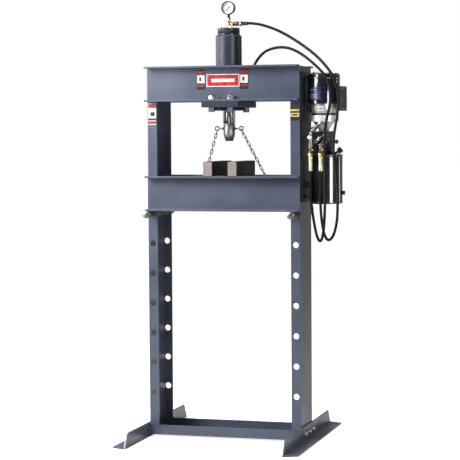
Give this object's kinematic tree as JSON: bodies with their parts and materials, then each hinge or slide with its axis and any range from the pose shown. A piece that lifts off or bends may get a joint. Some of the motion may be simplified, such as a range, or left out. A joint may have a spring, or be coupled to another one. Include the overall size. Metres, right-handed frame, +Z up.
{
  "type": "hydraulic shop press",
  "caption": "Floor-standing H-frame shop press: channel frame with pin holes, height-set bed on pins with press blocks, hydraulic ram in the head, gauge, hoses and electric power unit.",
  "frame": {"origin": "middle of the floor area that the press covers, on the floor", "axes": "+Z up, -Y the front, +X towards the power unit"},
  "size_m": [0.9414, 0.88, 1.915],
  "materials": {
    "frame_paint": "blue-grey machine enamel, semi-gloss",
    "black_enamel": "gloss black enamel",
    "machined_steel": "machined steel, lightly oiled",
    "chrome": "hard chrome, polished",
    "zinc_plate": "zinc-plated steel",
    "brass": "plain brass",
    "cast_alloy": "cast and machined aluminium",
    "hose_rubber": "black hose cover",
    "seal": "polyurethane seal",
    "dial_white": "white enamel dial",
    "lens": "clear flat lens"
  },
  "bodies": {
    "frame": {"upright_left": "frame_paint", "upright_right": "frame_paint", "head_channel_front": "frame_paint", "head_channel_rear": "frame_paint", "base_channel": "frame_paint", "foot_left": "frame_paint", "foot_right": "frame_paint", "cylinder_tube": "frame_paint", "cylinder_cap": "frame_paint", "ram_plate": "frame_paint", "gland": "frame_paint", "unit_bracket": "black_enamel", "motor_housing": "black_enamel", "valve_block": "black_enamel", "reservoir": "black_enamel", "reservoir_lid": "black_enamel", "drain_plug": "black_enamel", "switch_box": "black_enamel", "switch_cover": "black_enamel", "plate_bolt_front_left": "zinc_plate", "plate_bolt_front_right": "zinc_plate", "plate_bolt_rear_left": "zinc_plate", "plate_bolt_rear_right": "zinc_plate", "hose_end_tee": "zinc_plate", "port_elbow": "zinc_plate", "fitting_return": "zinc_plate", "fitting_advance": "zinc_plate", "relief_valve": "zinc_plate", "gauge_case": "zinc_plate", "gauge_tee": "brass", "ferrule_advance": "brass", "ferrule_return": "brass", "motor_adaptor": "cast_alloy", "pump": "cast_alloy", "hose_advance": "hose_rubber", "hose_return": "hose_rubber", "gauge_dial": "dial_white", "gauge_lens": "lens"},
    "ram": {"piston": "machined_steel", "piston_seal": "seal", "ram_rod": "chrome", "ram_nose": "machined_steel", "eye_bolt_left": "zinc_plate", "eye_bolt_right": "zinc_plate"},
    "bed": {"bed_channel_front": "frame_paint", "bed_channel_rear": "frame_paint", "bed_spacer_left": "frame_paint", "bed_spacer_right": "frame_paint", "lift_chain_left": "zinc_plate", "lift_chain_right": "zinc_plate"},
    "block_left": {"press_block_left": "machined_steel"},
    "block_right": {"press_block_right": "machined_steel"},
    "pin_left": {"bed_pin_left": "machined_steel"},
    "pin_right": {"bed_pin_right": "machined_steel"},
    "needle": {"gauge_needle": "black_enamel"},
    "rotor": {"motor_rotor": "machined_steel"},
    "lever": {"valve_lever": "black_enamel"},
    "cap": {"filler_cap": "black_enamel"},
    "switch": {"switch_lever": "zinc_plate"}
  },
  "joints": [
    {"name": "ram_slide", "type": "slide", "parent": "frame", "child": "ram", "axis": [0, 0, -1], "range_m": [0, 0.1], "deforming": ["lift_chain_left", "lift_chain_right"]},
    {"name": "bed_lift", "type": "slide", "parent": "frame", "child": "bed", "axis": [0, 0, 1], "range_m": [0, 0.012]},
    {"name": "block_left_slide", "type": "slide", "parent": "bed", "child": "block_left", "axis": [-1, 0, 0], "range_m": [-0.03, 0]},
    {"name": "block_right_slide", "type": "slide", "parent": "bed", "child": "block_right", "axis": [1, 0, 0], "range_m": [-0.03, 0]},
    {"name": "pin_left_pull", "type": "slide", "parent": "frame", "child": "pin_left", "axis": [0, -1, 0], "range_m": [0, 0.26]},
    {"name": "pin_right_pull", "type": "slide", "parent": "frame", "child": "pin_right", "axis": [0, -1, 0], "range_m": [0, 0.26]},
    {"name": "needle_turn", "type": "hinge", "parent": "frame", "child": "needle", "pos_m": [-0.06225, -0.006, 1.8855], "axis": [0, 1, 0], "range_deg": [0, 270]},
    {"name": "rotor_spin", "type": "hinge", "parent": "frame", "child": "rotor", "pos_m": [0.36375, 0, 1.5], "axis": [0, 0, 1], "continuous": true},
    {"name": "valve_lever_tilt", "type": "hinge", "parent": "frame", "child": "lever", "pos_m": [0.40475, -0.02, 1.298], "axis": [0, 1, 0], "range_deg": [-20, 20], "stiffness_Nm_per_rad": 0.3},
    {"name": "filler_cap_turn", "type": "hinge", "parent": "frame", "child": "cap", "pos_m": [0.4302, -0.005, 1.25699], "axis": [0.766, 0, 0.6428], "range_deg": [0, 90]},
    {"name": "switch_toggle", "type": "hinge", "parent": "frame", "child": "switch", "pos_m": [0.45925, -0.005, 1.49], "axis": [0, -1, 0], "range_deg": [0, 30]}
  ]
}
